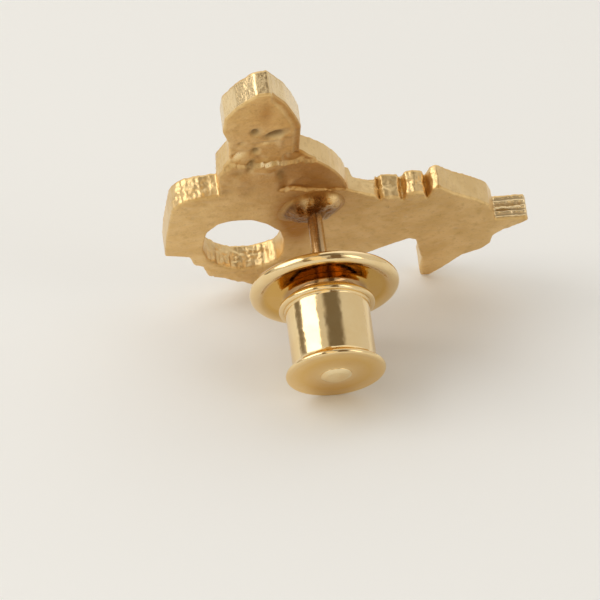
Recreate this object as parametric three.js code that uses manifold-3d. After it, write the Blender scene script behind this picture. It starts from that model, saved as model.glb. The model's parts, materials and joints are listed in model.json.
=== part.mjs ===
// Tie tack: a cast emblem with a soldered post, held by a pull-to-release ball clutch.
// Units are millimetres and +Z is up. Everything is drawn in the post's own frame first:
// x across the emblem, y up the emblem, z along the post, away from the emblem's flat back.
// The last lines lean that frame the way the tack rests on a table: on the foot of the
// emblem's ring, on the tip of its fin and on the rim of the clutch's cap.
import * as THREE from 'three';
import { mergeVertices } from 'three/addons/utils/BufferGeometryUtils.js';
import Module from 'manifold-3d';

const wasm = await Module();
wasm.setup();

// ---- driving dimensions -------------------------------------------------------------
const LEAN = 34;                // how far the post points below the horizontal, degrees
const SEAT = 0.05;              // gap between pieces that are fixed to each other
const RUN = 0.1;                // gap between pieces that slide or turn on each other

// emblem
const PLATE_T = 2.1;            // thickness of the casting
const VALLEY_T = 1.4;           // thickness where the arm leaves the hump
const PAD_RISE = 0.45;          // how far the raised fields stand out of the front
const PAD_BEVEL = 0.22;
const HUMP = { x: -6.8, y: 0.3, r: 9.5, from: 52, to: 12 };

// post and solder
const POST_R = 0.575;
const POST_L = 9.8;
const POST_TIP = 0.75;          // length of the pointed end
const SOLDER_R = 2.25;
const SOLDER_H = 0.95;

// clutch, measured along the post from the middle of the flange's rim
const FLANGE_Z = 6.9;           // the flange's place on the post
const FLANGE_R = 5.7;
const RIM_R = 0.41;             // radius of the rolled rim's section
const SHEET = 0.3;              // thickness of the pressed sheet
const PLATE_FRONT = -0.38;
const PLATE_R = 4.72;
const PIN_HOLE_R = POST_R + RUN + 0.05;
const NECK_R = 2.8;
const NECK_TOP = 2.4;

// ball lock
const TAPER = 12;               // half angle of the housing's cone, degrees
const BALL_R = 0.5;
const BALL_Z = 1.8;             // the balls' plane
const BALL_ORBIT = POST_R + BALL_R + 0.015;
const BALLS = 3;
const HOUSING_R = NECK_R - SHEET - SEAT;
const HOUSING_BOTTOM = 0.45;
const HOUSING_TOP = 5.9;
const CAGE_R = 1.12;
const CAGE_BORE = POST_R + RUN;
const CAGE_BOTTOM = 0.8;
const SHOULDER_R = 1.62;
const SHOULDER_Z = [2.55, 2.8];
const STEM_R = 0.98;
const SPRING_BORE = 1.95;
const SPRING_R = 1.44;          // radius of the coil's centre line
const WIRE_R = 0.13;
const COILS = 5;
const SPRING_Z = [2.98, 5.32];  // centre line of the first and the last turn
const RETAINER_Z = [5.55, 5.85];

// pull cap
const BARREL_R = 3.19;
const BARREL_BORE = NECK_R + RUN;
const LIP_R = 3.66;
const LIP_Z = 1.55;
const LIP_ROLL = 0.25;
const HEAD_R = 3.8;
const HEAD_Z = 7.05;
const HEAD_ROLL = 0.2;
const CAP_INNER_END = 6.78;
const RIVET_R = 1.18;
const RIVET_Z = [7.3, 7.6];

// y of the emblem's two feet, so that they and the cap's rim all reach the table
const rad = (degrees) => THREE.MathUtils.degToRad(degrees);
const CAP_REACH = (FLANGE_Z + HEAD_Z) * Math.tan(rad(LEAN));
const FOOT = -(CAP_REACH + HEAD_R - HEAD_ROLL + HEAD_ROLL / Math.cos(rad(LEAN)));

const ROUND = 48;               // sides of the large turned pieces
const FINE = 24;                // sides of the small ones

// ---- materials ----------------------------------------------------------------------
function metal(color, roughness) {
  return new THREE.MeshStandardMaterial({ color, roughness, metalness: 1 });
}
const castGold = metal(0xc89a5a, 0.42);
const polishedGold = metal(0xe6cd8a, 0.12);
const solderMetal = metal(0x8a5a2c, 0.38);
const postGold = metal(0xc79f5e, 0.25);
const steel = metal(0xb9b9bc, 0.2);

// ---- helpers ------------------------------------------------------------------------
// Points of an arc from one angle to another, in degrees. A second radius makes it elliptical.
function arc(x, y, r, from, to, steps, ry = r) {
  const points = [];
  for (let i = 0; i <= steps; i += 1) {
    const angle = rad(from + ((to - from) * i) / steps);
    points.push([x + r * Math.cos(angle), y + ry * Math.sin(angle)]);
  }
  return points;
}

// A turned piece about the post's axis, from a closed outline of (radius, z) points.
function turned(profile, sides = ROUND) {
  const points = profile.map(([r, z]) => new THREE.Vector2(r, z));
  const closesOnAxis = profile[0][0] === 0 && profile[profile.length - 1][0] === 0;
  if (!closesOnAxis) {
    points.push(points[0].clone());
  }
  const geometry = new THREE.LatheGeometry(points, sides);
  return geometry.rotateX(Math.PI / 2);
}

function toSolid(geometry) {
  const plain = geometry.index ? geometry.toNonIndexed() : geometry.clone();
  plain.deleteAttribute('normal');
  plain.deleteAttribute('uv');
  const merged = mergeVertices(plain, 1e-4);
  return new wasm.Manifold(new wasm.Mesh({
    numProp: 3,
    vertProperties: new Float32Array(merged.attributes.position.array),
    triVerts: new Uint32Array(merged.index.array),
  }));
}

function toGeometry(solid) {
  const mesh = solid.getMesh();
  const geometry = new THREE.BufferGeometry();
  geometry.setAttribute('position', new THREE.BufferAttribute(mesh.vertProperties, 3));
  geometry.setIndex(new THREE.BufferAttribute(mesh.triVerts, 1));
  geometry.computeVertexNormals();
  return geometry;
}

function named(name, geometry, material) {
  const mesh = new THREE.Mesh(geometry, material);
  mesh.name = name;
  return mesh;
}

function shapeOf(points) {
  return new THREE.Shape(points.map(([x, y]) => new THREE.Vector2(x, y)));
}

// ---- emblem -------------------------------------------------------------------------
// The outline runs clockwise from the tower's flat top, and the hole the other way round.
const towerRight = [[-5.8, 18.7], [-4.8, 18.9], [-3.4, 16.8], [-2.6, 14.9], [-2.0, 13.1], [-1.7, 8.5]];
const humpArc = arc(HUMP.x, HUMP.y, HUMP.r, HUMP.from, HUMP.to, 8);
const armTop = [
  [2.9, 2.0], [4.9, 0.8], [5.1, 0.1], [5.4, 0.6], [6.6, 0.5], [6.9, -0.1], [7.2, 0.8],
  [7.8, 1.0], [8.5, 0.8], [8.8, 0.0], [9.1, 1.3], [9.6, 1.6],
];
const blockAndBar = [
  [10.6, 0.6], [12.8, -1.0], [13.8, -2.0], [14.3, -3.3], [14.5, -4.5], [17.0, -4.5],
  [17.2, -5.0], [16.2, -5.8], [15.4, -6.3], [14.7, -7.2], [14.6, -8.5], [14.0, -9.4],
];
const fin = [
  [12.6, -10.2], [11.2, -12.2], [10.3, FOOT], [9.6, FOOT], [9.4, -12.2], [9.4, -10.4], [8.6, -7.0],
  [8.0, -6.7],
];
const underside = [[5.9, -8.0], [3.0, -10.0], [0.6, -11.6], [-1.8, FOOT], [-3.2, FOOT]];
const ringSteps = [
  [-3.9, -12.6], [-5.1, -12.0], [-5.9, -11.4], [-7.3, -10.7], [-7.8, -9.1], [-8.5, -8.7],
  [-9.0, -7.2], [-10.9, -6.7],
];
const ringShoulder = [[-11.0, -4.0], ...arc(-8.7, 0.4, 2.2, 180, 90, 5)];
const towerLeft = [
  [-7.4, 2.8], [-7.7, 6.1], [-7.0, 8.2], [-7.3, 11.2], [-7.9, 13.3], [-7.9, 15.2], [-7.1, 17.0],
];
const ringHole = [
  [-8.0, -4.4], [-8.0, -6.1], [-7.5, -7.9], [-6.3, -9.2], [-5.4, -9.8], [-3.8, -9.9],
  [-2.8, -9.5], [-2.0, -8.9], [-1.7, -7.6], [-1.8, -5.5], [-2.2, -3.9], [-3.4, -2.4],
  [-4.5, -1.6], [-6.1, -1.5], [-7.1, -1.9], [-7.9, -3.2],
];

function emblemPlate() {
  const shape = shapeOf([
    ...towerRight, ...humpArc, ...armTop, ...blockAndBar, ...fin, ...underside,
    ...ringSteps, ...ringShoulder, ...towerLeft,
  ]);
  shape.holes.push(new THREE.Path(ringHole.map(([x, y]) => new THREE.Vector2(x, y))));
  const geometry = new THREE.ExtrudeGeometry(shape, { depth: PLATE_T, bevelEnabled: false });
  return geometry.translate(0, 0, -PLATE_T);
}

// Raised fields on the front, set in from the casting's edge and parted by grooves that
// carry on the tower's ridge, the hump's curve and the arm's notches.
function band(x, y, outer, inner, from, to) {
  return [
    ...arc(x, y, outer[0], from, to, 7, outer[1]),
    ...arc(x, y, inner[0], to, from, 7, inner[1]),
  ];
}

const frontFields = {
  towerLeft: [
    [-5.5, 17.7], [-5.1, 13.4], [-5.0, 8.5], [-6.3, 8.5], [-6.6, 11.4], [-7.2, 13.5], [-7.2, 15.0],
    [-6.6, 16.5],
  ],
  towerRight: [
    [-4.9, 17.7], [-3.9, 16.1], [-3.2, 14.5], [-2.7, 12.9], [-2.5, 8.5], [-4.5, 8.5], [-4.6, 13.4],
  ],
  humpOuter: band(HUMP.x, HUMP.y, [8.8, 8.8], [7.2, 7.2], 50, 8),
  humpInner: band(HUMP.x, HUMP.y, [6.7, 6.7], [5.1, 5.1], 62, 4),
  ring: band(-4.9, -5.7, [5.2, 5.9], [3.9, 4.95], 183, 80),
  body: [[-1.1, -0.3], [1.8, 0.4], [3.1, -0.9], [3.1, -7.4], [-0.6, -7.6], [-1.0, -3.8]],
  foot: [
    [-4.1, -11.2], [-2.5, -10.5], [-1.3, -9.7], [-0.6, -8.2], [2.4, -8.0], [2.6, -9.4], [0.2, -11.0],
    [-2.0, -12.4], [-2.9, -12.4],
  ],
  armFirst: [[3.6, -0.8], [4.8, -0.8], [4.8, -8.0], [3.6, -8.8]],
  armSecond: [[5.4, -0.1], [6.6, -0.2], [6.6, -6.9], [5.4, -7.6]],
  armThird: [[7.2, 0.1], [8.4, 0.1], [8.4, -5.9], [7.2, -6.5]],
  block: [
    [9.1, 0.3], [9.8, 0.6], [12.5, -1.6], [13.3, -2.5], [13.8, -3.8], [13.8, -5.4], [9.1, -5.4],
  ],
  fin: [
    [9.3, -6.0], [13.9, -6.0], [13.9, -8.2], [13.4, -8.9], [12.0, -9.7], [10.7, -11.6], [10.1, -11.6],
    [10.0, -10.0], [9.4, -7.4],
  ],
};

function raisedField(points) {
  const geometry = new THREE.ExtrudeGeometry(shapeOf(points), {
    depth: PAD_RISE,
    bevelThickness: PAD_BEVEL,
    bevelSize: PAD_BEVEL,
    bevelOffset: -PAD_BEVEL,
    bevelSegments: 1,
  });
  return geometry.translate(0, 0, -PLATE_T - PAD_RISE + PAD_BEVEL);
}

function emblemCasting() {
  let solid = toSolid(emblemPlate());
  for (const field of Object.values(frontFields)) {
    solid = solid.add(toSolid(raisedField(field)));
  }
  const valley = new THREE.BoxGeometry(2.0, 2.4, PLATE_T).translate(3.9, 1.0, -VALLEY_T - PLATE_T / 2);
  solid = solid.subtract(toSolid(valley));
  return named('emblem_casting', toGeometry(solid), castGold);
}

// ---- post and solder ----------------------------------------------------------------
function post() {
  const tipStart = POST_L - POST_TIP;
  const profile = [
    [0, SEAT], [POST_R, SEAT], [POST_R, tipStart], [POST_R * 0.8, tipStart + 0.3],
    [0.12, POST_L - 0.04], [0, POST_L],
  ];
  return named('post', turned(profile, FINE), postGold);
}

// The solder runs up the post in a hollow curve.
function solderJoint() {
  const inner = POST_R + SEAT;
  const profile = [[inner, SEAT], [SOLDER_R, SEAT], [SOLDER_R - 0.05, 0.2]];
  for (let i = 1; i <= 5; i += 1) {
    const t = i / 5;
    const r = THREE.MathUtils.lerp(SOLDER_R - 0.05, inner + 0.12, t);
    profile.push([r, 0.2 + (SOLDER_H - 0.2) * t * t]);
  }
  profile.push([inner, SOLDER_H]);
  return named('solder_joint', turned(profile, FINE), solderMetal);
}

// ---- clutch housing -----------------------------------------------------------------
function frontPlate() {
  const back = -SEAT;
  const profile = [
    [PIN_HOLE_R, PLATE_FRONT], [PLATE_R, PLATE_FRONT], [PLATE_R, back], [PIN_HOLE_R, back],
  ];
  return named('front_plate', turned(profile), polishedGold);
}

// Pressed dish: the rolled rim, a hollow ring inside it and a neck that carries the housing.
function flangeDish() {
  const rimCentre = FLANGE_R - RIM_R;
  const rim = arc(rimCentre, 0, RIM_R, -150, 130, 9);
  const floorTop = SHEET + SEAT;
  const profile = [
    ...rim,
    [4.7, floorTop + 0.06], [4.2, floorTop], [3.4, floorTop + 0.02], [3.0, floorTop + 0.2],
    [NECK_R, floorTop + 0.5], [NECK_R, NECK_TOP], [NECK_R - SHEET, NECK_TOP], [NECK_R - SHEET, SEAT],
    [PLATE_R + SEAT, SEAT],
  ];
  return named('flange_dish', turned(profile), polishedGold);
}

// radius of the cone at a height, so that it touches the balls
function taperR(z) {
  const atBalls = BALL_ORBIT + (BALL_R + 0.02) / Math.cos(rad(TAPER));
  return atBalls + (z - BALL_Z) * Math.tan(rad(TAPER));
}

// The cone narrows towards the emblem, so a pull on the clutch wedges the balls on the post.
function taperHousing() {
  const coneTop = 3.2;
  const coneBottom = HOUSING_BOTTOM + 0.25;
  const profile = [
    [1.2, HOUSING_BOTTOM], [HOUSING_R, HOUSING_BOTTOM], [HOUSING_R, HOUSING_TOP],
    [SPRING_BORE, HOUSING_TOP], [SPRING_BORE, coneTop], [taperR(coneTop), coneTop],
    [taperR(coneBottom), coneBottom], [1.2, coneBottom],
  ];
  return named('taper_housing', turned(profile, 36), polishedGold);
}

function springRetainer() {
  const [low, high] = RETAINER_Z;
  const outer = SPRING_BORE - SEAT;
  const inner = STEM_R + RUN;
  const profile = [[inner, low], [outer, low], [outer, high], [inner, high]];
  return named('spring_retainer', turned(profile, FINE), steel);
}

// ---- release mechanism --------------------------------------------------------------
class Coil extends THREE.Curve {
  getPoint(t, target = new THREE.Vector3()) {
    const angle = 2 * Math.PI * COILS * t;
    const z = THREE.MathUtils.lerp(SPRING_Z[0] + WIRE_R, SPRING_Z[1] - WIRE_R, t);
    return target.set(SPRING_R * Math.cos(angle), SPRING_R * Math.sin(angle), z);
  }
}

function releaseSpring() {
  const section = new THREE.Shape(
    arc(0, 0, WIRE_R, 0, 300, 5).map(([x, y]) => new THREE.Vector2(x, y)),
  );
  const geometry = new THREE.ExtrudeGeometry(section, { steps: COILS * 14, extrudePath: new Coil() });
  return named('release_spring', geometry, steel);
}

const ballAngle = (i) => (2 * Math.PI * i) / BALLS + Math.PI / 2;

// A blind tube round the post with a window for each ball, riveted into the cap's end.
function ballCage() {
  const boreEnd = RIVET_Z[0] - 0.1;
  const profile = [
    [CAGE_BORE, CAGE_BOTTOM], [CAGE_R, CAGE_BOTTOM], [CAGE_R, SHOULDER_Z[0]],
    [SHOULDER_R, SHOULDER_Z[0]], [SHOULDER_R, SHOULDER_Z[1]], [STEM_R, SHOULDER_Z[1]],
    [STEM_R, RIVET_Z[0]], [RIVET_R, RIVET_Z[0]], [RIVET_R, RIVET_Z[1] - 0.08],
    [RIVET_R - 0.1, RIVET_Z[1]], [0, RIVET_Z[1]], [0, boreEnd], [CAGE_BORE, boreEnd],
  ];
  let solid = toSolid(turned(profile, FINE));
  for (let i = 0; i < BALLS; i += 1) {
    const window = new THREE.CylinderGeometry(BALL_R + 0.05, BALL_R + 0.05, 1.2, 16);
    window.rotateZ(Math.PI / 2).translate(1.0, 0, BALL_Z).rotateZ(ballAngle(i));
    solid = solid.subtract(toSolid(window));
  }
  return named('ball_cage', toGeometry(solid), steel);
}

function ball(i) {
  const mesh = named(`ball_${i + 1}`, new THREE.SphereGeometry(BALL_R, 14, 10), steel);
  mesh.position.set(BALL_ORBIT * Math.cos(ballAngle(i)), BALL_ORBIT * Math.sin(ballAngle(i)), BALL_Z);
  return mesh;
}

// Drawn cup: a small rolled lip, the barrel, and a flared head with a low crown.
function pullCap() {
  const lip = arc(LIP_R - LIP_ROLL, LIP_Z, LIP_ROLL, -110, 80, 5);
  const head = arc(HEAD_R - HEAD_ROLL, HEAD_Z, HEAD_ROLL, -70, 90, 5);
  const profile = [
    [BARREL_BORE, LIP_Z - LIP_ROLL], ...lip,
    [BARREL_R, LIP_Z + 0.42], [BARREL_R, HEAD_Z - 0.75], [BARREL_R + 0.1, HEAD_Z - 0.4],
    ...head,
    [3.3, HEAD_Z + 0.16], [1.6, HEAD_Z + 0.2], [STEM_R + SEAT, HEAD_Z + 0.2],
    [STEM_R + SEAT, CAP_INNER_END], [BARREL_BORE, CAP_INNER_END],
  ];
  return named('pull_cap', turned(profile), polishedGold);
}

// ---- assembly -----------------------------------------------------------------------
const emblem = new THREE.Group();
emblem.add(emblemCasting(), solderJoint(), post());

const clutch = new THREE.Group();
clutch.position.z = FLANGE_Z;
clutch.add(frontPlate(), flangeDish(), taperHousing(), springRetainer());
clutch.add(releaseSpring(), ballCage(), pullCap());
for (let i = 0; i < BALLS; i += 1) {
  clutch.add(ball(i));
}

const tieTack = new THREE.Group();
tieTack.add(emblem, clutch);
tieTack.rotation.x = rad(90 + LEAN);

// The origin is the middle of the bottom of the whole object's box.
tieTack.updateMatrixWorld(true);
const box = new THREE.Box3().setFromObject(tieTack, true);
tieTack.position.set(-(box.min.x + box.max.x) / 2, -(box.min.y + box.max.y) / 2, -box.min.z);

export default tieTack;
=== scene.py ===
import json
import math

import bmesh
import bpy
import numpy as np
from mathutils import Matrix, Vector, kdtree, noise
from mathutils.geometry import delaunay_2d_cdt


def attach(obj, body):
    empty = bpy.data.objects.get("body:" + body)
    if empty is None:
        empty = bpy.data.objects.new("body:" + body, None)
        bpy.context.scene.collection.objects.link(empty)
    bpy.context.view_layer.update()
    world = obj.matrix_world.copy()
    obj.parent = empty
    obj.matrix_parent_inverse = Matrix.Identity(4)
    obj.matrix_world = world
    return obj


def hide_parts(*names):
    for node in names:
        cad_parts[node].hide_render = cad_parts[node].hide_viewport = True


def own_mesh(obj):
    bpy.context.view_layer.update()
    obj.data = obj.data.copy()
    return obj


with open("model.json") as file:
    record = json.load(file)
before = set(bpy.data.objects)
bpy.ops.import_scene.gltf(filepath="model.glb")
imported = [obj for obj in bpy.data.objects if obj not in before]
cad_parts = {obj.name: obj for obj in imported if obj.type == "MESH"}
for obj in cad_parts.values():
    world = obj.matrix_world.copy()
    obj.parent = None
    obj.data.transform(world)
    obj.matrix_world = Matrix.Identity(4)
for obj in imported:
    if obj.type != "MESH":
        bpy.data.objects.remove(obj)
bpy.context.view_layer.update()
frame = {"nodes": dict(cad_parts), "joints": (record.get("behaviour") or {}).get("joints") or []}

# The tie tack's looks. Every piece is drawn in the post's own frame, in millimetres: x across
# the emblem, y up the emblem and z along the post, away from the emblem's flat back.
MM = 0.001
TURN = next(joint for joint in frame["joints"] if joint["name"] == "cap_turn")
ALONG = Vector(TURN["axis"]).normalized()
ACROSS = Vector((1, 0, 0))
UP = ALONG.cross(ACROSS)
PIN = (
    Matrix.Translation(TURN["pos_m"])
    @ Matrix((ACROSS, UP, ALONG)).transposed().to_4x4()
    @ Matrix.Scale(MM, 4)
)
TO_PIN = PIN.inverted()


# ---- sizes read from the frame --------------------------------------------------------
def in_pin(node):
    """A CAD node's corners in the post's frame."""
    return np.array([TO_PIN @ v.co for v in frame["nodes"][node].data.vertices])


def reach(node):
    """A turned node's largest radius, lowest z and highest z."""
    points = in_pin(node)
    return np.hypot(points[:, 0], points[:, 1]).max(), points[:, 2].min(), points[:, 2].max()


POST_R, POST_FOOT, POST_END = reach("post")
SOLDER_R, _, SOLDER_TOP = reach("solder_joint")
FLANGE_R, _, NECK_TOP = reach("flange_dish")
PLATE_R, PLATE_LOW, PLATE_HIGH = reach("front_plate")
HEAD_R, LIP_LOW, HEAD_TOP = reach("pull_cap")
CAGE_LOW, CAGE_TOP = reach("ball_cage")[1:]
SPRING_R, SPRING_LOW, SPRING_HIGH = reach("release_spring")
CAST_LOW = in_pin("emblem_casting")[:, 2].min()

# sizes that a node's corners don't give
SHEET = 0.3                  # thickness of the pressed gold sheet
FLANGE_Z = 6.9               # the flange's place along the post, which other heights start from
RIM_ROLL = 0.47
NECK_R = 2.8
BARREL_R = 3.19
BARREL_BORE = 2.9
LIP_R = 3.66
LIP_ROLL = 0.25
HEAD_ROLL = 0.2
CAGE_R = 1.12
CAGE_BORE = 0.675
WINDOW_GAP = 0.05            # left round each ball in its window
SHOULDER_R = 1.62
SHOULDER = (2.55, 2.8)       # the cage's shoulder, above the middle of the flange's rim
STEM_R = 0.98
RIVET_R = 1.18
WIRE_R = 0.13
COILS = 5
PLATE_T = 2.1                # the casting without its raised fields
FIELD_BEVEL = 0.22


# ---- helpers --------------------------------------------------------------------------
def piece(name, verts, faces, body, slot, material, stands_for=(), crease=40):
    """A mesh in the post's frame that rides on a CAD body."""
    mesh = bpy.data.meshes.new(name)
    mesh.from_pydata([tuple(v) for v in verts], [], faces)
    tidy = bmesh.new()
    tidy.from_mesh(mesh)
    bmesh.ops.recalc_face_normals(tidy, faces=tidy.faces)
    tidy.to_mesh(mesh)
    tidy.free()
    mesh.shade_smooth()
    mesh.set_sharp_from_angle(angle=math.radians(crease))
    mesh.materials.append(material)
    obj = bpy.data.objects.new(name, mesh)
    bpy.context.scene.collection.objects.link(obj)
    obj.matrix_world = PIN
    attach(obj, body)
    if stands_for:
        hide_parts(*stands_for)
    return obj


def paint(obj, name, runs, total):
    """Stores a number for every point of a mesh, 0 where none is given."""
    values = np.zeros(total, np.float32)
    given = np.concatenate(runs)
    values[:len(given)] = given
    obj.data.attributes.new(name, "FLOAT", "POINT").data.foreach_set("value", values)


def arc(x, y, r, start, end, steps):
    """Points of an arc, angles in degrees."""
    angles = np.radians(np.linspace(start, end, steps + 1))
    return [(x + r * math.cos(a), y + r * math.sin(a)) for a in angles]


def rounded(corners, steps=6):
    """A closed outline from (radius, z, rounding) corners. A plain (radius, z) stays sharp."""
    outline = []
    for i, corner in enumerate(corners):
        here = np.array(corner[:2])
        rounding = corner[2] if len(corner) > 2 else 0
        if not rounding:
            outline.append(tuple(here))
            continue
        before = np.array(corners[i - 1][:2]) - here
        after = np.array(corners[(i + 1) % len(corners)][:2]) - here
        before /= np.linalg.norm(before)
        after /= np.linalg.norm(after)
        half = math.acos(np.clip(before @ after, -1, 1)) / 2
        centre = here + (before + after) / np.linalg.norm(before + after) * rounding / math.sin(half)
        first = here + before * rounding / math.tan(half) - centre
        last = here + after * rounding / math.tan(half) - centre
        start = math.atan2(first[1], first[0])
        sweep = (math.atan2(last[1], last[0]) - start + math.pi) % (2 * math.pi) - math.pi
        for k in range(steps + 1):
            angle = start + sweep * k / steps
            outline.append((centre[0] + rounding * math.cos(angle), centre[1] + rounding * math.sin(angle)))
    return outline


def turned(outline, sides=128, wave=None):
    """Points and faces of a closed (radius, z) outline turned about the post's axis."""
    verts, rings = [], []
    for r, z in outline:
        count = 1 if r < 1e-6 else sides
        rings.append(list(range(len(verts), len(verts) + count)))
        for k in range(count):
            angle = 2 * math.pi * k / sides
            dr, dz = wave(r, z, angle) if wave else (0, 0)
            verts.append(((r + dr) * math.cos(angle), (r + dr) * math.sin(angle), z + dz))
    faces = []
    for low, high in zip(rings, rings[1:] + rings[:1]):
        if len(low) == 1 and len(high) == 1:
            continue
        for k in range(sides):
            n = (k + 1) % sides
            quad = [low[k % len(low)], low[n % len(low)], high[n % len(high)], high[k % len(high)]]
            faces.append(list(dict.fromkeys(quad)))
    return verts, faces


def smooth_step(x, low, high):
    """0 below low, 1 above high, and a smooth rise between."""
    t = np.clip((x - low) / (high - low), 0, 1)
    return t * t * (3 - 2 * t)


def spot(x, y, cx, cy, rx, ry, lean=0.0):
    """A soft oval patch, 1 in its middle."""
    c, s = math.cos(math.radians(lean)), math.sin(math.radians(lean))
    u, v = (x - cx) * c + (y - cy) * s, (y - cy) * c - (x - cx) * s
    return np.exp(-((u / rx) ** 2) - (v / ry) ** 2)


def cast_noise(points, scale, octaves=3, offset=0.0):
    """Fractal noise, about -1 to 1, at each point."""
    return np.array([
        noise.fractal(Vector(tuple(p)) * scale + Vector((offset, 0, 0)), 0.7, 2.1, octaves) for p in points
    ])


# ---- materials ------------------------------------------------------------------------
class Look:
    """A metal whose colour, roughness and fine relief all come from noise in the post's frame."""

    def __init__(self, name, colour, roughness, scale=(1, 1, 1)):
        self.material = bpy.data.materials.new(name)
        self.material.use_nodes = True
        self.tree = self.material.node_tree
        self.shader = self.tree.nodes["Principled BSDF"]
        self.shader.inputs["Metallic"].default_value = 1
        self.place = self.add("ShaderNodeMapping")
        self.place.inputs["Scale"].default_value = scale
        self.link(self.add("ShaderNodeTexCoord").outputs["Object"], self.place.inputs["Vector"])
        self.colour, self.rough, self.normal = colour, roughness, None

    def add(self, kind, **settings):
        node = self.tree.nodes.new(kind)
        for key, value in settings.items():
            setattr(node, key, value)
        return node

    def link(self, start, end):
        self.tree.links.new(start, end)

    def feed(self, value, socket):
        """Sets a socket to a number or colour, or joins it to another node's output."""
        if isinstance(value, bpy.types.NodeSocket):
            self.link(value, socket)
        elif isinstance(value, tuple):
            socket.default_value = (*value, 1)
        else:
            socket.default_value = value

    def noise(self, scale, detail=3, low=0.35, high=0.65, stretch=None):
        """A noise pattern, spread so that low and high become 0 and 1."""
        pattern = self.add("ShaderNodeTexNoise")
        pattern.inputs["Scale"].default_value = scale
        pattern.inputs["Detail"].default_value = detail
        source = self.place.outputs[0]
        if stretch:
            mapping = self.add("ShaderNodeMapping")
            mapping.inputs["Scale"].default_value = stretch
            self.link(source, mapping.inputs["Vector"])
            source = mapping.outputs[0]
        self.link(source, pattern.inputs["Vector"])
        return self.spread(pattern.outputs["Fac"], low, high)

    def spread(self, source, low, high, start=0, end=1):
        """Maps low to high smoothly onto start to end."""
        node = self.add("ShaderNodeMapRange", interpolation_type="SMOOTHSTEP")
        for key, number in (("From Min", low), ("From Max", high), ("To Min", start), ("To Max", end)):
            node.inputs[key].default_value = number
        self.link(source, node.inputs["Value"])
        return node.outputs["Result"]

    def painted(self, name):
        """The numbers that paint() stored under this name."""
        return self.add("ShaderNodeAttribute", attribute_name=name).outputs["Fac"]

    def share(self, mask, amount):
        """A mask made weaker."""
        node = self.add("ShaderNodeMath", operation="MULTIPLY")
        self.link(mask, node.inputs[0])
        node.inputs[1].default_value = amount
        return node.outputs[0]

    def blend(self, kind, start, end, mask, amount):
        """A colour or number that turns from start to end with the mask."""
        node = self.add("ShaderNodeMix", data_type=kind)
        sockets = [socket for socket in node.inputs if socket.enabled]
        self.link(self.share(mask, amount), sockets[0])
        self.feed(start, sockets[1])
        self.feed(end, sockets[2])
        return next(socket for socket in node.outputs if socket.enabled)

    def tint(self, mask, colour, amount=1.0):
        """Turns the colour towards another where the mask is high."""
        self.colour = self.blend("RGBA", self.colour, colour, mask, amount)

    def roughen(self, mask, roughness, amount=1.0):
        """Turns the roughness towards another where the mask is high."""
        self.rough = self.blend("FLOAT", self.rough, roughness, mask, amount)

    def emboss(self, mask, depth):
        """Adds fine relief, depth in millimetres."""
        bump = self.add("ShaderNodeBump")
        bump.inputs["Distance"].default_value = depth * MM
        self.link(mask, bump.inputs["Height"])
        if self.normal:
            self.link(self.normal, bump.inputs["Normal"])
        self.normal = bump.outputs["Normal"]

    def done(self):
        """Joins everything to the shader and returns the material."""
        self.feed(self.colour, self.shader.inputs["Base Color"])
        self.feed(self.rough, self.shader.inputs["Roughness"])
        self.link(self.normal, self.shader.inputs["Normal"])
        return self.material


def cast_gold():
    """Dull gold with darker stains, brighter where it is rubbed, with painted shade and painted glints."""
    look = Look("cast_gold", (0.84, 0.60, 0.28), 0.40)
    look.tint(look.noise(0.4, 4), (0.72, 0.48, 0.19), 0.75)
    look.tint(look.noise(1.5, 5, 0.5, 0.72), (0.60, 0.38, 0.14), 0.45)
    look.tint(look.noise(5.0, 4, 0.58, 0.72), (0.42, 0.25, 0.09), 0.35)
    # painted shade on the hump's back and the tower's bevelled strip, and darker brown patches
    look.tint(look.painted("shade_and_dark_patches"), (0.45, 0.205, 0.035))
    # lighter where rubbed, and painted glints on the back's step and flaws
    look.tint(look.painted("polish"), (0.94, 0.78, 0.50), 0.8)
    # painted shade in the pits, along the step and in the bar's grooves
    look.tint(look.painted("painted_shade"), (0.21, 0.12, 0.045), 0.9)
    look.roughen(look.noise(1.4, 4), 0.52, 0.6)
    look.roughen(look.painted("polish"), 0.14)
    look.roughen(look.painted("painted_shade"), 0.6)
    look.emboss(look.noise(1.1, 3), 0.022)
    look.emboss(look.noise(5.0, 4), 0.006)
    look.emboss(look.noise(16.0, 2), 0.002)
    return look.done()


def polished_gold(name, lines, colour=(0.90, 0.70, 0.39), roughness=0.08):
    """Plated sheet with faint lines left by turning, which run where lines stretches the noise."""
    look = Look(name, colour, roughness)
    look.tint(look.noise(0.7, 3), (0.86, 0.63, 0.31), 0.5)
    look.tint(look.noise(6.0, 5, 0.62, 0.78), (0.55, 0.36, 0.13), 0.3)
    # painted shade in the flange's dish and on and under the cap
    look.tint(look.painted("shade_and_dark_patches"), (0.75, 0.48, 0.13))
    # painted shade on the flange's neck
    look.tint(look.painted("painted_shade"), (0.46, 0.28, 0.13))
    look.roughen(look.noise(1.1, 5), 0.15, 0.7)
    look.roughen(look.noise(1.0, 2, 0.5, 0.7, stretch=lines), 0.2, 0.5)
    look.emboss(look.noise(1.0, 2, stretch=lines), 0.0006)
    look.emboss(look.noise(0.8, 2), 0.01)
    return look.done()


def heated_solder():
    """Brown, glossy solder with painted highlights on its lumps, duller where it is thin."""
    look = Look("heated_solder", (0.29, 0.14, 0.045), 0.24)
    look.tint(look.noise(0.9, 3), (0.15, 0.065, 0.022), 0.9)
    # painted highlights on the lumps
    look.tint(look.painted("polish"), (0.86, 0.60, 0.28))
    look.tint(look.painted("thin"), (0.50, 0.29, 0.10))
    look.roughen(look.noise(2.0, 4), 0.32, 0.7)
    look.roughen(look.painted("thin"), 0.42)
    look.emboss(look.noise(1.8, 2), 0.02)
    look.emboss(look.noise(7.0, 3), 0.004)
    return look.done()


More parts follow.
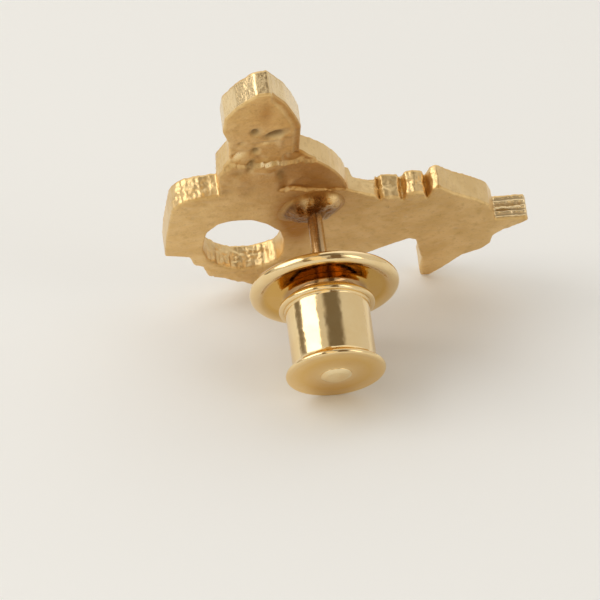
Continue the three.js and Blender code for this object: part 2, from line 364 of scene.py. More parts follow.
def drawn_wire():
    """Wire with fine marks along it and painted shade near the solder and down one side."""
    look = Look("drawn_wire", (0.74, 0.53, 0.28), 0.18)
    # painted shade near the solder and down one side
    look.tint(look.painted("painted_shade"), (0.30, 0.16, 0.07))
    look.tint(look.noise(1.0, 4, stretch=(1, 1, 0.3)), (0.50, 0.32, 0.15), 0.6)
    look.roughen(look.noise(2.0, 4), 0.36, 0.6)
    look.emboss(look.noise(1.0, 3, stretch=(9, 9, 0.3)), 0.004)
    return look.done()


def bright_steel(name, scale):
    """Plain steel. scale turns the piece's own units into millimetres."""
    look = Look(name, (0.66, 0.66, 0.67), 0.2, scale)
    look.tint(look.noise(2.0, 4), (0.52, 0.50, 0.48), 0.5)
    look.roughen(look.noise(5.0, 4), 0.34, 0.6)
    look.emboss(look.noise(9.0, 3), 0.002)
    return look.done()


CAST = cast_gold()
SHEET_GOLD = polished_gold("sheet_gold", (0.25, 0.25, 9))
FACE_GOLD = polished_gold("face_gold", (0.25, 0.25, 9), (0.89, 0.68, 0.37), 0.12)
SOLDER = heated_solder()
WIRE = drawn_wire()
# lighter than the sheet gold: a painted highlight on the cage's rivet head
RIVET_GOLD = polished_gold("rivet_gold", (0.25, 0.25, 9), (0.97, 0.82, 0.52), 0.2)
STEEL = bright_steel("steel_small", (1, 1, 1))
HIDDEN_STEEL = bright_steel("steel_frame", (1000, 1000, 1000))


# ---- emblem ---------------------------------------------------------------------------
EDGE_STEP = 0.1
GRID = 0.18
WALL_ROWS = 18
OUTER_SOFTENING = 0.07       # how far the outline's corners are rounded
HOLE_SOFTENING = 0.16
OUTER_DRAG = 0.35            # strength of the drag marks across the walls
HOLE_DRAG = 1.0
TOWER_SINK = 0.26            # the tower's back is sunk above a ragged step
HUMP = (-6.8, 0.3, 9.5)      # centre and radius of the hump's arc
VALLEY = (2.9, 4.9, -0.2, 0.7)   # x from, x to, y from, depth of the front notch by the arm
BAR_X = 14.4
BAR_RIBS = 4

# x, y and radius of the places that were left rough, and how rough
RUGGED = [
    (-9.6, 1.6, 2.6, 1.0), (-7.8, 5.6, 2.0, 0.8), (6.9, 0.6, 3.6, 1.0), (-6.4, -10.8, 3.0, 0.8),
    (-4.6, -9.6, 2.6, 0.9), (16.2, -5.2, 2.0, 0.5), (-3.9, 7.6, 1.9, 0.9), (10.0, -9.0, 3.0, 0.3),
    (-4.4, 11.2, 1.8, 0.8), (11.6, 0.0, 2.2, 0.35), (-0.4, 1.8, 1.8, 0.6), (-5.3, 18.2, 0.9, 0.15),
]
# centre x and y, half width, half height, lean, depth and painted glint of the pits in the back, and of
# the lumps, whose depth is below 0; deeper pits get more painted shade
FLAWS = [
    (-3.9, 12.3, 0.80, 0.42, 42, 0.46, 0.0), (-5.45, 12.8, 0.30, 0.52, 0, 0.34, 0.0),
    (-5.15, 9.4, 0.24, 0.42, 0, 0.30, 0.0), (-5.35, 7.2, 0.22, 0.7, -12, 0.22, 0.0),
    (-6.35, 10.9, 0.22, 0.3, 0, 0.14, 0.0), (-2.9, 5.6, 0.3, 0.9, 8, 0.2, 0.0),
    (-6.2, 6.4, 0.4, 0.5, 0, 0.12, 0.0), (-9.2, -0.6, 0.16, 0.2, 0, 0.08, 0.2),
    (7.4, -3.0, 0.14, 0.18, 0, 0.07, 0.3), (11.5, -5.6, 0.16, 0.2, 0, 0.08, 0.2),
    (-6.5, 8.8, 0.28, 0.62, -30, 0.3, 1.0), (-4.3, 10.9, 0.7, 0.22, 10, 0.12, 0.6),
    (-2.75, 7.9, 0.22, 0.6, 0, 0.16, 0.8), (-4.7, 8.3, 0.3, 0.3, 0, 0.14, 0.7),
    (-3.35, 11.4, 0.24, 1.5, 4, -0.12, 0.35), (-5.9, 5.0, 0.5, 0.8, 20, -0.08, 0.2),
    (-4.3, 6.4, 0.8, 0.25, -8, -0.10, 0.5), (-6.9, 3.4, 0.5, 0.4, 0, 0.08, 0.0),
    (-1.9, 3.9, 0.25, 1.0, -25, -0.10, 0.3), (-5.1, 3.2, 0.35, 0.9, -15, 0.07, 0.0),
]
# centre x and y, half width, half height and strength of darker brown patches on the back
DARK_PATCHES = [
    (-4.9, 15.8, 0.5, 1.6, 0.6), (-0.7, -2.4, 1.1, 3.2, 1.1), (-1.9, 0.0, 1.2, 2.4, 0.9),
    (-1.5, -2.8, 1.5, 3.2, 0.45), (1.3, 0.6, 1.6, 2.2, 0.35),
]


def plane_loops(node, z):
    """The boundaries of a CAD node's flat faces at one height, as (x, y) rows."""
    points = in_pin(node)
    seen = {}
    ids = [seen.setdefault(tuple(np.round(p, 3)), len(seen)) for p in points]
    place = {number: corner for corner, number in seen.items()}
    edges = set()
    for face in frame["nodes"][node].data.polygons:
        ring = [ids[i] for i in face.vertices]
        if all(abs(place[i][2] - z) < 0.01 for i in ring):
            edges.update(zip(ring, ring[1:] + ring[:1]))
    follow = {a: b for a, b in edges if (b, a) not in edges}
    loops = []
    while follow:
        step = min(follow)
        loop = []
        while step in follow:
            loop.append(place[step][:2])
            step = follow.pop(step)
        loops.append(np.array(loop))
    return loops


def resample(loop, step):
    """The same closed loop with its points about that step apart."""
    closed = np.vstack([loop, loop[:1]])
    along = np.concatenate([[0], np.cumsum(np.hypot(*np.diff(closed, axis=0).T))])
    marks = np.linspace(0, along[-1], max(8, round(along[-1] / step)), endpoint=False)
    return np.stack([np.interp(marks, along, closed[:, k]) for k in (0, 1)], axis=1)


def soften(loop, width, step):
    """Rounds a loop's corners over about that width."""
    spread = math.ceil(3 * width / step)
    weights = np.exp(-0.5 * (np.arange(-spread, spread + 1) * step / width) ** 2)
    weights /= weights.sum()
    wrapped = np.concatenate([loop[-spread:], loop, loop[:spread]])
    return np.stack([np.convolve(wrapped[:, k], weights, "valid") for k in (0, 1)], axis=1)


def sideways(loop):
    """The unit vectors at a loop's points that point to its right."""
    tangent = np.roll(loop, -1, axis=0) - np.roll(loop, 1, axis=0)
    tangent /= np.linalg.norm(tangent, axis=1)[:, None]
    return np.stack([tangent[:, 1], -tangent[:, 0]], axis=1)


def distance(points, loop):
    """Distance of each point from a loop, positive inside it."""
    a, b = loop, np.roll(loop, -1, axis=0)
    ab = b - a
    found = np.empty(len(points))
    for start in range(0, len(points), 400):
        p = points[start:start + 400, None, :]
        t = np.clip(((p - a) * ab).sum(2) / (ab ** 2).sum(1), 0, 1)
        gap = np.linalg.norm(p - a - t[..., None] * ab, axis=2).min(1)
        above = (a[:, 1] > p[..., 1]) != (b[:, 1] > p[..., 1])
        rise = np.where(ab[:, 1] == 0, 1e-12, ab[:, 1])
        left = p[..., 0] < a[:, 0] + (p[..., 1] - a[:, 1]) / rise * ab[:, 0]
        inside = ((above & left).sum(1) % 2) == 1
        found[start:start + 400] = np.where(inside, gap, -gap)
    return found


def ruggedness(points):
    """How rough the casting was left at each point, 0 to 1."""
    rough = [amount * spot(points[:, 0], points[:, 1], x, y, r, r) for x, y, r, amount in RUGGED]
    return np.clip(np.sum(rough, axis=0), 0, 1)


def tower_step(x):
    """y of the ragged step across the tower's back."""
    return 7.3 + 0.55 * cast_noise(np.column_stack([x, 0 * x, 0 * x]), 1.0, 4, 7)


def hump_ledge(x):
    """y of the ledge between the hump's sunk back and the solder."""
    return 3.0 - 0.13 * (x + 2.2) + 0.22 * cast_noise(np.column_stack([x, 0 * x, 0 * x]), 0.9, 3, 2)


def hump_back(points):
    """1 on the part of the back between the hump's arc and the ledge above the solder."""
    x, y = points.T
    ledge = hump_ledge(x)
    return smooth_step(y, ledge - 0.05, ledge + 0.12) * smooth_step(x, -3.2, -2.2) * (y < 8.6)


def tower_strip(points, gap):
    """1 on the bevelled strip down the tower's right edge."""
    x, y = points.T
    return (1 - smooth_step(gap, 0.35, 0.6)) * (x > -4.6) * smooth_step(y, 7.4, 8.4)


def back_height(points, gap):
    """The back's height over the flat: casting marks, the sunk tower and hump, and flaws."""
    x, y = points.T
    rough = ruggedness(points)
    high = 0.03 * cast_noise(points3(points), 0.45, 2)
    high = high + (0.010 + 0.05 * rough) * cast_noise(points3(points), 1.9, 4)
    step = tower_step(x)
    sunk = smooth_step(y, step - 0.06, step + 0.09) * (1 - smooth_step(y, 9.5, 13.0))
    high = high - TOWER_SINK * sunk - 0.16 * tower_strip(points, gap)
    from_arc = HUMP[2] - np.hypot(x - HUMP[0], y - HUMP[1])
    high = high - hump_back(points) * (0.10 + 0.06 * np.clip(from_arc, 0, 5))
    for cx, cy, rx, ry, lean, depth, _ in FLAWS:
        high = high - depth * spot(x, y, cx, cy, rx, ry, lean)
    return high * smooth_step(np.hypot(x, y), 1.2, 2.6)


def points3(points):
    """The same points with a z of 0."""
    return np.column_stack([points, np.zeros(len(points))])


def thickness(points):
    """The casting's thickness, less where the front is notched beside the arm."""
    x, y = points.T
    low, high, from_y, depth = VALLEY
    notch = smooth_step(x, low - 0.15, low + 0.1) * smooth_step(-x, -high - 0.1, -high + 0.15)
    return PLATE_T - depth * notch * smooth_step(y, from_y - 0.1, from_y + 0.15)


def front_height(points, fields):
    """How far the front stands out of the plain plate: raised fields on a stippled ground."""
    gaps = np.max([distance(points, field) for field in fields], axis=0)
    rise = -PLATE_T - CAST_LOW
    raised = smooth_step(gaps, -FIELD_BEVEL, 0.06) * rise + 0.06 * smooth_step(gaps, 0.05, 1.0)
    ground = (1 - smooth_step(gaps, -0.35, -0.1)) * 0.05 * cast_noise(points3(points), 2.6, 2, 3)
    return raised + ground, gaps


def edge_radius(points):
    """How far the casting's edges are worn."""
    return 0.13 + 0.03 * cast_noise(points3(points), 0.8, 2, 5) + 0.05 * ruggedness(points)


def rolled(gap, radius):
    """How far a surface has dropped at that distance from a rounded edge."""
    left = np.clip(radius - gap, 0, None)
    return radius - np.sqrt(np.clip(radius ** 2 - left ** 2, 0, None))


def on_bar(line, outward):
    """1 on the upper edge of the small ribbed bar."""
    return smooth_step(line[:, 0], BAR_X, BAR_X + 0.3) * smooth_step(outward[:, 1], 0.3, 0.7)


def rib(depth_share):
    """Height of the bar's ribs at a share of the casting's thickness, -1 to 1."""
    return math.cos(2 * math.pi * BAR_RIBS * depth_share)


def wall_marks(line, along, outward, depth_share, dragged):
    """Sideways relief of the casting's edge: drag marks across it, lumps, crumbs and ribs."""
    rough = ruggedness(line)
    place = np.column_stack([line, np.full(len(line), depth_share * PLATE_T)])
    stretched = np.column_stack([along, np.zeros(len(line)), place[:, 2] * 0.16])
    marks = dragged * (0.012 + 0.08 * rough) * cast_noise(stretched, 2.8, 3)
    lumps = (0.006 + 0.10 * rough) * cast_noise(place, 1.5, 4, 11)
    crumbs = 0.05 * rough * np.clip(cast_noise(place, 3.4, 3, 31), -1, 0.2)
    wear_and_shade = 1 + 0.6 * cast_noise(place * (1, 1, 0), 2.4, 2, 17)
    return marks + lumps + crumbs + 0.12 * wear_and_shade * on_bar(line, outward) * rib(depth_share)


def scattered(outer, hole, fields):
    """Points inside the casting's outline: rows beside every edge, then a fine honeycomb."""
    rows = []
    for line in (outer, hole):
        side = sideways(line)
        rows += [line - side * 0.055, line - side * 0.13]
    for field in fields:
        line = resample(field, 0.15)
        side = sideways(line)
        rows += [line, line + side * FIELD_BEVEL * 0.5, line + side * FIELD_BEVEL]
    for height, low, high in ((tower_step, -7.6, -1.8), (hump_ledge, -3.2, 3.0)):
        xs = np.arange(low, high, 0.11)
        rows += [np.column_stack([xs, height(xs) + off]) for off in (-0.06, 0, 0.06, 0.13)]
    low, high = outer.min(0), outer.max(0)
    for k, y in enumerate(np.arange(low[1], high[1], GRID * 0.866)):
        xs = np.arange(low[0] + (k % 2) * GRID / 2, high[0], GRID)
        rows.append(np.column_stack([xs, np.full(len(xs), y)]))
    points = np.concatenate(rows)
    gap = np.minimum(distance(points, outer), -distance(points, hole))
    points = points[gap > 0.035]
    kept = kdtree.KDTree(len(points))
    for i, p in enumerate(points):
        kept.insert((*p, 0), i)
    kept.balance()
    chosen = np.ones(len(points), bool)
    for i, p in enumerate(points):
        if chosen[i]:
            for _, other, _ in kept.find_range((*p, 0), 0.06):
                if other > i:
                    chosen[other] = False
    return points[chosen]


def edge_line(loop, width):
    """A boundary of the casting, softened and roughened, and its outward vectors."""
    line = soften(resample(loop, EDGE_STEP), width, EDGE_STEP)
    side = sideways(line)
    unevenness = (0.012 + 0.05 * ruggedness(line)) * cast_noise(points3(line), 2.2, 3)
    return line + side * unevenness[:, None], side


def filled(flat, lines):
    """Triangles on the points, between the outer line and the hole's."""
    constraints = []
    start = 0
    for line in lines:
        n = len(line)
        constraints += [(start + k, start + (k + 1) % n) for k in range(n)]
        start += n
    made = delaunay_2d_cdt([Vector(p) for p in flat], constraints, [], 0, 1e-6)
    source = [ids[0] for ids in made[3]]
    triangles = np.array([[source[i] for i in face] for face in made[2]])
    middle = flat[triangles].mean(1)
    return triangles[(distance(middle, lines[0]) > 0) & (distance(middle, lines[1]) < 0)]


def wall(line, side, dragged, start, back, front, verts, faces):
    """Adds the wall under a boundary. Returns how polished its points are, and the painted shade in the
    bar's grooves.
    """
    n = len(line)
    along = np.arange(n) * EDGE_STEP
    bar = on_bar(line, side)
    rows = [np.arange(start, start + n)]
    polish, painted_shade = [], []
    for k in range(1, WALL_ROWS):
        share = k / WALL_ROWS
        level = back[start:start + n] * (1 - share) + front[start:start + n] * share
        swell = math.sin(math.pi * share) ** 0.5
        shift = wall_marks(line, along, side, share, dragged) * swell
        rows.append(np.arange(len(verts), len(verts) + n))
        verts += [(*p, z) for p, z in zip(line + side * shift[:, None], level)]
        polish.append(0.28 + 0.37 * smooth_step(line[:, 1], 12.5, 14) + 0.6 * bar)
        # painted shade in the grooves between the bar's ribs
        painted_shade.append(bar * 0.5 * (rib(share) < -0.3))
    rows.append(np.arange(start, start + n) + len(back))
    for above, below in zip(rows, rows[1:]):
        faces += [(above[k], below[k], below[(k + 1) % n], above[(k + 1) % n]) for k in range(n)]
    return polish, painted_shade


def back_marks(flat, gap):
    """The back's painted shade and dark patches, its painted shade in pits and on the step, and its painted
    glints.
    """
    x, y = flat.T
    broken = smooth_step(cast_noise(np.column_stack([x, 0 * x, 0 * x]), 1.3, 2, 40), 0.0, 0.2)
    on_step = np.exp(-((y - tower_step(x) - 0.03) / 0.12) ** 2)
    on_step = on_step * smooth_step(-np.abs(x + 4.1), -1.7, -1.2)
    # painted glints along the step across the tower's back, broken into pieces, with painted shade between
    # them
    painted_glint = 0.9 * on_step * broken
    painted_shade = 0.3 * on_step * (1 - broken)
    # painted shade on the hump's sunk back, on the tower's bevelled strip and in a band above the post
    shade_and_dark_patches = 0.36 * hump_back(flat) + 0.5 * tower_strip(flat, gap)
    shade_and_dark_patches = shade_and_dark_patches + 0.2 * smooth_step(y, 0.5, 4.0) * (1 - smooth_step(y, 6.5, 8.5))
    # darker brown patches
    for cx, cy, rx, ry, amount in DARK_PATCHES:
        shade_and_dark_patches = shade_and_dark_patches + amount * spot(x, y, cx, cy, rx, ry)
    # painted shade in the pits, and painted glints where a flaw has them
    for cx, cy, rx, ry, lean, depth, glint_amount in FLAWS:
        mark = np.clip(1.5 * spot(x, y, cx, cy, rx, ry, lean), 0, 1)
        painted_shade = painted_shade + np.clip(depth / 0.4, 0, 1) * mark * (1 - glint_amount)
        painted_glint = painted_glint + 0.6 * glint_amount * mark
    return np.clip(shade_and_dark_patches, 0, 1), np.clip(painted_shade, 0, 1), np.clip(painted_glint, 0, 1)


def emblem():
    """The casting: a finely meshed back and front, joined by rough walls outside and in the ring."""
    outer, hole = sorted(plane_loops("emblem_casting", 0.0), key=len, reverse=True)
    fields = [loop[::-1] for loop in plane_loops("emblem_casting", CAST_LOW)]
    edges = [edge_line(outer, OUTER_SOFTENING), edge_line(hole, HOLE_SOFTENING)]
    lines = [line for line, _ in edges]
    flat = np.concatenate([*lines, scattered(*lines, fields)])
    triangles = filled(flat, lines)

    gap = np.minimum(distance(flat, lines[0]), -distance(flat, lines[1]))
    gap[:sum(len(line) for line in lines)] = 0
    drop = rolled(gap, edge_radius(flat))
    back = back_height(flat, gap) - drop
    relief, field_gap = front_height(flat, fields)
    front = -thickness(flat) - relief + drop
    verts = [(*p, z) for p, z in zip(flat, back)]
    verts += [(*p, z) for p, z in zip(flat, front)]
    faces = [tuple(t) for t in triangles]
    faces += [tuple(t[::-1] + len(flat)) for t in triangles]

    shade_and_dark_patches, painted_shade, painted_glint = back_marks(flat, gap)
    # the back's painted glints, then the front's polished fields
    polish = [painted_glint, 0.9 * smooth_step(field_gap, -0.1, 0.1)]
    grooves = [painted_shade, 0 * painted_shade]
    start = 0
    for (line, side), dragged in zip(edges, (OUTER_DRAG, HOLE_DRAG)):
        wall_polish, wall_shade = wall(line, side, dragged, start, back, front, verts, faces)
        polish += wall_polish
        grooves += wall_shade
        start += len(line)
    obj = piece("emblem_body", verts, faces, "emblem", "cast_gold", CAST, ["emblem_casting"], crease=75)
    paint(obj, "shade_and_dark_patches", [shade_and_dark_patches], len(verts))
    paint(obj, "painted_shade", grooves, len(verts))
    paint(obj, "polish", polish, len(verts))
    return obj


# ---- post and solder ------------------------------------------------------------------
# centre x and y, radius and height of the solder's lumps, and how much painted highlight each gets
LUMPS = [
    (1.45, 1.75, 0.85, 0.50, 1.0), (-0.55, 1.55, 0.5, 0.30, 0.6), (-1.5, 0.3, 0.9, 0.30, 0.0),
    (-1.0, -1.2, 0.8, 0.22, 0.0), (0.9, -0.9, 0.7, 0.25, 0.35), (2.0, 0.7, 0.5, 0.28, 0.5),
]


def solder_bead():
    """A glossy, uneven lump that ran round the post's foot."""
    inner = POST_R + 0.01
    rows = 30
    outline = [(inner, -0.1), (SOLDER_R, -0.1)]
    for k in range(rows + 1):
        share = 1 - k / rows
        height = 0.55 * (1 - share ** 2) ** 1.5 + 0.4 * (1 - share) ** 3
        outline.append((inner + share * (SOLDER_R - inner), 0.02 + (SOLDER_TOP - 0.1) * height))

    def wave(r, z, angle):
        share = (r - inner) / (SOLDER_R - inner)
        rim = noise.fractal(Vector((math.cos(angle), math.sin(angle), 4.0)) * 1.3, 0.8, 2.0, 2)
        lobes = max(0, math.cos(angle - math.radians(52))) ** 3
        lobes += max(0, math.cos(angle - math.radians(205))) ** 3
        run = share * (0.25 * rim + 0.55 * lobes)
        x, y = (r + run) * math.cos(angle), (r + run) * math.sin(angle)
        lift = sum(high * spot(x, y, cx, cy, size, size) for cx, cy, size, high, _ in LUMPS)
        lift += 0.12 * noise.fractal(Vector((x, y, 7.0)) * 1.4, 0.9, 2.0, 2)
        return run, max(lift * smooth_step(1 - share, 0, 0.45), -0.7 * z) if z > 0 else 0

    verts, faces = turned(outline, 96, wave)
    obj = piece("solder_bead", verts, faces, "emblem", "solder", SOLDER, ["solder_joint"], 80)
    x, y, z = np.array(verts).T
    # painted highlights on the lumps
    glint_amount = sum(painted_glint * spot(x, y, cx, cy, size, size) for cx, cy, size, _, painted_glint in LUMPS)
    paint(obj, "polish", [np.clip(glint_amount, 0, 1)], len(verts))
    paint(obj, "thin", [1 - smooth_step(z, 0.04, 0.3)], len(verts))
    return obj


def post_pin():
    """Drawn wire with a blunted point, with painted shade towards its foot and down its left side."""
    shank = np.linspace(POST_FOOT, POST_END - 1.5, 12)[1:]
    outline = rounded([
        (0, POST_FOOT), (POST_R, POST_FOOT), *((POST_R, z) for z in shank), (POST_R, POST_END - 0.75, 0.4),
        (POST_R * 0.8, POST_END - 0.45, 0.4), (0.12, POST_END - 0.04, 0.08), (0, POST_END),
    ])
    verts, faces = turned(outline, 64)
    obj = piece("post_pin", verts, faces, "emblem", "post_gold", WIRE, ["post"])
    x, _, z = np.array(verts).T
    # painted shade, strongest at the foot and down the left side
    paint(obj, "painted_shade", [(1 - smooth_step(z, 1.0, 6.0)) * (1 - 0.6 * smooth_step(x, 0, 0.4))], len(verts))
    return obj


# ---- clutch ---------------------------------------------------------------------------
def raised(corners, base):
    """Corners with their heights measured from base."""
    return [(c[0], c[1] + base, *c[2:]) for c in corners]


def flange():
    """Pressed dish with a rolled rim, turned up into the neck, with painted shade in the dish and on the
    neck.
    """
    middle = FLANGE_R - RIM_ROLL
    neck_top = NECK_TOP - FLANGE_Z
    corners = [
        *arc(middle, 0, RIM_ROLL, -140, 125, 28),
        (4.60, 0.15, 0.55), (3.35, 0.31, 0.5), (NECK_R, 0.62, 0.45),
        (NECK_R, neck_top, 0.08), (NECK_R - SHEET, neck_top, 0.08), (NECK_R - SHEET, 0.06, 0.04),
        (4.80, 0.06, 0.05),
    ]
    verts, faces = turned(rounded(raised(corners, FLANGE_Z)), 160)
    obj = piece("flange_shell", verts, faces, "clutch", "polished_gold", SHEET_GOLD, ["flange_dish"])
    x, y, z = np.array(verts).T
    radius = np.hypot(x, y)
    # painted shade in the dish inside the rim, and darker still on the neck
    above = (z > FLANGE_Z) * smooth_step(radius, NECK_R - 0.2, NECK_R - 0.05)
    paint(obj, "shade_and_dark_patches", [above * smooth_step(-radius, -5.2, -4.5)], len(verts))
    paint(obj, "painted_shade", [above * smooth_step(-radius, -3.3, -2.9)], len(verts))
    return obj


def front_disc():
    """The plate round the pin hole, with a funnel and two pressed rings."""
    bore = 0.725
    low = PLATE_LOW - FLANGE_Z
    high = PLATE_HIGH - FLANGE_Z
    corners = [
        (bore, high - 0.02), (bore, low + 0.16, 0.08), (bore + 0.16, low, 0.08), (1.7, low, 0.15),
        (1.85, low + 0.07, 0.1), (2.15, low + 0.07, 0.1), (2.30, low, 0.15), (3.9, low, 0.15),
        (4.02, low + 0.06, 0.08), (4.16, low + 0.06, 0.08), (4.28, low, 0.15), (PLATE_R, low, 0.08),
        (PLATE_R, high, 0.03),
    ]
    outline = rounded(raised(corners, FLANGE_Z), 4)
    return piece("front_disc", *turned(outline, 128), "clutch", "polished_gold", FACE_GOLD,
                 ["front_plate"])


def cap():
    """Drawn cup with a rolled lip, a straight barrel, a sharp flare and a low crowned end."""
    lip_z = LIP_LOW + LIP_ROLL - FLANGE_Z
    crown = HEAD_TOP - FLANGE_Z
    head_z = crown - HEAD_ROLL
    inner_end = crown - 0.47
    corners = [
        (BARREL_BORE, lip_z - 0.12, 0.05),
        *arc(LIP_R - LIP_ROLL, lip_z, LIP_ROLL, -135, 118, 20),
        (BARREL_R, lip_z + 0.34, 0.12), (BARREL_R, head_z - 0.62, 0.5),
        (BARREL_R + 0.22, head_z - 0.16, 0.12),
        *arc(HEAD_R - HEAD_ROLL, head_z, HEAD_ROLL, -100, 84, 16),
        (3.42, crown - 0.03, 0.5), (2.6, crown + 0.04, 1.5), (1.6, crown + 0.05, 0.5),
        (RIVET_R + 0.06, crown + 0.09, 0.06), (STEM_R + 0.05, crown, 0.02),
        (STEM_R + 0.05, inner_end), (BARREL_BORE, inner_end, 0.15),
    ]
    outline = rounded(raised(corners, FLANGE_Z))
    verts, faces = turned(outline, 160)
    obj = piece("cap_shell", verts, faces, "cap", "polished_gold", SHEET_GOLD, ["pull_cap"])
    x, y, z = np.array(verts).T
    radius = np.hypot(x, y)
    # painted shade: a darker ring round the rivet on the end, and under the lip
    wear_and_shade = smooth_step(radius, 1.1, 2.2) * smooth_step(-radius, -4.0, -2.8) * (z > FLANGE_Z + crown - 0.1)
    under = 1 - smooth_step(z, FLANGE_Z + lip_z - 0.2, FLANGE_Z + lip_z)
    paint(obj, "shade_and_dark_patches", [np.clip(0.75 * wear_and_shade + under, 0, 1)], len(verts))
    return obj


def window_cutters():
    """Short rods through the cage's wall, one at each ball."""
    mesh = bpy.data.meshes.new("windows")
    rods = bmesh.new()
    radius = BALL_R + WINDOW_GAP
    for centre in BALLS.values():
        out = Vector((centre.x, centre.y, 0)).normalized()
        turn = out.to_track_quat("Z", "Y").to_matrix().to_4x4()
        place = Matrix.Translation(Vector((0, 0, centre.z)) + out * CAGE_R) @ turn
        bmesh.ops.create_cone(rods, cap_ends=True, segments=40, radius1=radius, radius2=radius,
                              depth=1.3, matrix=place)
    rods.to_mesh(mesh)
    rods.free()
    tool = bpy.data.objects.new("windows", mesh)
    bpy.context.scene.collection.objects.link(tool)
    tool.matrix_world = PIN
    return tool


def cage():
    """Blind tube with a window for each ball and a low domed rivet head on the cap's end."""
    low, high = CAGE_LOW - FLANGE_Z, CAGE_TOP - FLANGE_Z
    under_head = high - 0.33
    corners = [
        (CAGE_BORE, low, 0.03), (CAGE_R, low, 0.05), (CAGE_R, SHOULDER[0]), (SHOULDER_R, SHOULDER[0], 0.05),
        (SHOULDER_R, SHOULDER[1], 0.05), (STEM_R, SHOULDER[1]), (STEM_R, under_head),
        (RIVET_R, under_head, 0.01), (RIVET_R, high - 0.24, 0.05), (RIVET_R - 0.35, high - 0.06, 0.5),
        (0, high), (0, under_head - 0.1), (CAGE_BORE, under_head - 0.1),
    ]
    outline = rounded(raised(corners, FLANGE_Z))
    obj = piece("cage_tube", *turned(outline, 96), "cap", "cage_metal", RIVET_GOLD, ["ball_cage"])
    tool = window_cutters()
    cut = obj.modifiers.new("windows", "BOOLEAN")
    cut.operation, cut.object, cut.solver = "DIFFERENCE", tool, "EXACT"
    bpy.context.view_layer.update()
    shaped = bpy.data.meshes.new_from_object(obj.evaluated_get(bpy.context.evaluated_depsgraph_get()))
    obj.modifiers.clear()
    obj.data = shaped
    bpy.data.objects.remove(tool)
    return obj


def ball(node, centre):
    """One ball of the lock, riding on its own body."""
    verts, faces = turned(arc(0, 0, BALL_R, -90, 90, 32), 48)
    verts = np.array(verts) + np.array(centre)
    body = "ball_" + "abc"[int(node[-1]) - 1]
    return piece(f"{node}_round", verts, faces, body, "steel", STEEL, [node])


def spring():
    """Closed-ended coil on the spring's body, its coils closer together at the ends."""
    radius = SPRING_R - WIRE_R
    low, high = SPRING_LOW + WIRE_R, SPRING_HIGH - WIRE_R
    steps, sides = COILS * 48, 12
    crowding = 0.22          # how much closer the coils lie at the ends
    verts, faces = [], []
    for k in range(steps + 1):
        t = k / steps
        rise = t - crowding * math.sin(2 * math.pi * t) / (2 * math.pi)
        angle = 2 * math.pi * COILS * t
        out = np.array((math.cos(angle), math.sin(angle), 0))
        centre = out * radius + np.array((0, 0, low + (high - low) * rise))
        thin = 0.4 if k in (0, steps) else 1
        for s in range(sides):
            turn = 2 * math.pi * s / sides
            around = math.cos(turn) * out + math.sin(turn) * np.array((0, 0, 1))
            verts.append(centre + WIRE_R * thin * around)
    for k in range(steps):
        for s in range(sides):
            n = (s + 1) % sides
            faces.append((k * sides + s, k * sides + n, (k + 1) * sides + n, (k + 1) * sides + s))
    faces.append(tuple(range(sides)))
    faces.append(tuple(range(steps * sides, (steps + 1) * sides)))
    obj = piece("spring_coil", verts, faces, "spring", "steel", STEEL, ["release_spring"])
    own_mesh(obj)
    return obj


# ---- object ---------------------------------------------------------------------------
BALLS = {}
for number in (1, 2, 3):
    ball_corners = in_pin(f"ball_{number}")
    BALLS[f"ball_{number}"] = Vector((ball_corners.min(0) + ball_corners.max(0)) / 2)
BALL_R = np.ptp(in_pin("ball_1")[:, 2]) / 2

emblem()
solder_bead()
post_pin()
flange()
front_disc()
cap()
cage()
spring()
for ball_node, ball_centre in BALLS.items():
    ball(ball_node, ball_centre)
for hidden_node in ("taper_housing", "spring_retainer"):
    frame["nodes"][hidden_node].data.materials.clear()
    frame["nodes"][hidden_node].data.materials.append(HIDDEN_STEEL)


# ---- floor, light and camera ----------------------------------------------------------
AZIMUTH, ELEVATION = -8.5, 30.0      # the photo's viewing angle, degrees
FRAME_WIDTH = 45.3 * MM
LENS = 400.0
SENSOR = 36.0
AIM = (-1.84, -0.906)                # the picture's middle from the flange's, right and up, mm


def floor():
    """Plain pale paper under the tie tack."""
    mesh = bpy.data.meshes.new("floor")
    half = 4.0               # metres
    corners = [(-half, -half, 0), (half, -half, 0), (half, half, 0), (-half, half, 0)]
    mesh.from_pydata(corners, [], [(0, 1, 2, 3)])
    paper = bpy.data.materials.new("paper")
    paper.use_nodes = True
    tree = paper.node_tree
    shader = tree.nodes["Principled BSDF"]
    shader.inputs["Base Color"].default_value = (0.91, 0.925, 0.93, 1)
    shader.inputs["Roughness"].default_value = 0.85
    shader.inputs["Specular IOR Level"].default_value = 0.2
    mesh.materials.append(paper)
    obj = bpy.data.objects.new("floor", mesh)
    bpy.context.scene.collection.objects.link(obj)


def towards(azimuth, elevation):
    """Unit vector to a place in the sky. Azimuth 0 is behind the object, 90 to its right."""
    a, e = math.radians(azimuth), math.radians(elevation)
    return Vector((math.sin(a) * math.cos(e), math.cos(a) * math.cos(e), math.sin(e)))


def strip(places, full, faded, shade):
    """Patches of sky in a row: three for each stretch from one (azimuth, elevation) to the next."""
    patches = []
    for (azimuth, elevation), (next_azimuth, next_elevation) in zip(places, places[1:]):
        for share in (0, 1 / 3, 2 / 3):
            turn = azimuth + (next_azimuth - azimuth) * share
            rise = elevation + (next_elevation - elevation) * share
            patches.append((towards(turn, rise), full, faded, shade))
    return patches


WALLS = (0.69, 0.655, 0.605)          # light from the room where nothing else is named
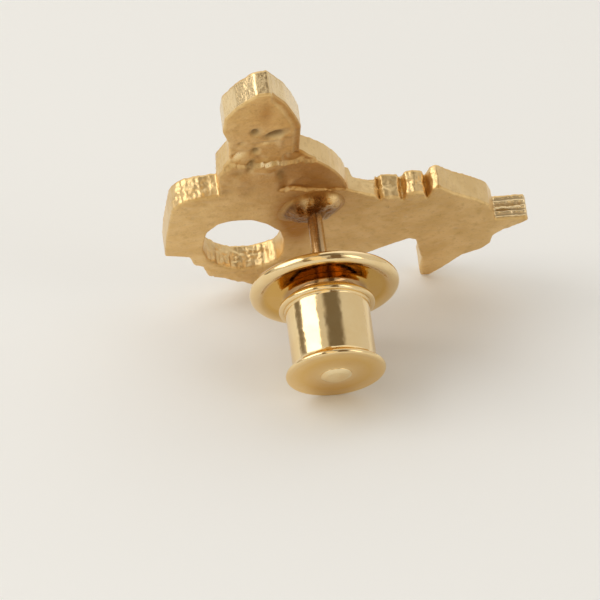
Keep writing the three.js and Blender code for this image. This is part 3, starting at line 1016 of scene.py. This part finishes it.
# direction, half angles of the full and the faded part, and the light's colour there
SKY = [
    (towards(0, 40), 26, 54, (1.06, 1.04, 1.00)),
    (towards(150, 80), 13, 26, (0.19, 0.155, 0.11)),
    (towards(-70, 6), 6, 12, (0.24, 0.20, 0.15)),
    *strip([(-126, 54), (-141, 40), (-151, 24), (-158, 7)], 4, 8, (0.22, 0.16, 0.09)),
    *strip([(-152, 54), (-162, 38), (-169, 20), (-176, 4)], 7, 11, (1.02, 0.86, 0.60)),
    *strip([(155, 52), (163, 34), (166, 16), (166, 0)], 7, 11, (0.18, 0.12, 0.07)),
]


def sky():
    """The room's light: plain walls with the patches of SKY over them."""
    world = bpy.data.worlds.new("room")
    bpy.context.scene.world = world
    world.use_nodes = True
    tree = world.node_tree
    background = tree.nodes["Background"]
    direction = tree.nodes.new("ShaderNodeTexCoord").outputs["Generated"]
    colour = None
    for axis, full, faded, shade in SKY:
        dot = tree.nodes.new("ShaderNodeVectorMath")
        dot.operation = "DOT_PRODUCT"
        dot.inputs[1].default_value = axis
        tree.links.new(direction, dot.inputs[0])
        share = tree.nodes.new("ShaderNodeMapRange")
        share.interpolation_type = "SMOOTHSTEP"
        share.inputs["From Min"].default_value = math.cos(math.radians(faded))
        share.inputs["From Max"].default_value = math.cos(math.radians(full))
        tree.links.new(dot.outputs["Value"], share.inputs["Value"])
        mix = tree.nodes.new("ShaderNodeMix")
        mix.data_type = "RGBA"
        factor, under, over = [socket for socket in mix.inputs if socket.enabled]
        tree.links.new(share.outputs["Result"], factor)
        under.default_value = (*WALLS, 1)
        if colour:
            tree.links.new(colour, under)
        over.default_value = (*shade, 1)
        colour = next(socket for socket in mix.outputs if socket.enabled)
    tree.links.new(colour, background.inputs["Color"])
    background.inputs["Strength"].default_value = 1.0


def window(name, azimuth, elevation, size, radiance, distance_m=0.6):
    """A soft rectangular light that faces the object."""
    light = bpy.data.lights.new(name, "AREA")
    light.shape = "RECTANGLE"
    light.size, light.size_y = size
    light.energy = radiance * math.pi * size[0] * size[1]
    light.color = (1.0, 0.97, 0.92)
    obj = bpy.data.objects.new(name, light)
    bpy.context.scene.collection.objects.link(obj)
    back = towards(azimuth, elevation)
    obj.location = back * distance_m
    obj.rotation_euler = back.to_track_quat("Z", "Y").to_euler()


def camera():
    """A long lens at the photo's viewing angle."""
    a, e = math.radians(AZIMUTH), math.radians(ELEVATION)
    right = Vector((math.cos(a), math.sin(a), 0))
    back = Vector((math.sin(a) * math.cos(e), -math.cos(a) * math.cos(e), math.sin(e)))
    up = back.cross(right)
    aim = PIN @ Vector((0, 0, FLANGE_Z)) + right * AIM[0] * MM + up * AIM[1] * MM
    data = bpy.data.cameras.new("camera")
    data.lens, data.sensor_width = LENS, SENSOR
    data.clip_start, data.clip_end = 0.01, 20
    obj = bpy.data.objects.new("camera", data)
    bpy.context.scene.collection.objects.link(obj)
    obj.location = aim + back * (FRAME_WIDTH * LENS / SENSOR)
    obj.rotation_euler = back.to_track_quat("Z", "Y").to_euler()
    bpy.context.scene.camera = obj


floor()
sky()
window("window_left", -90, 38, (0.52, 0.40), 1.9)
window("window_right", 134, 25, (0.17, 0.46), 1.3)
camera()
bpy.context.scene.view_settings.view_transform = "Standard"
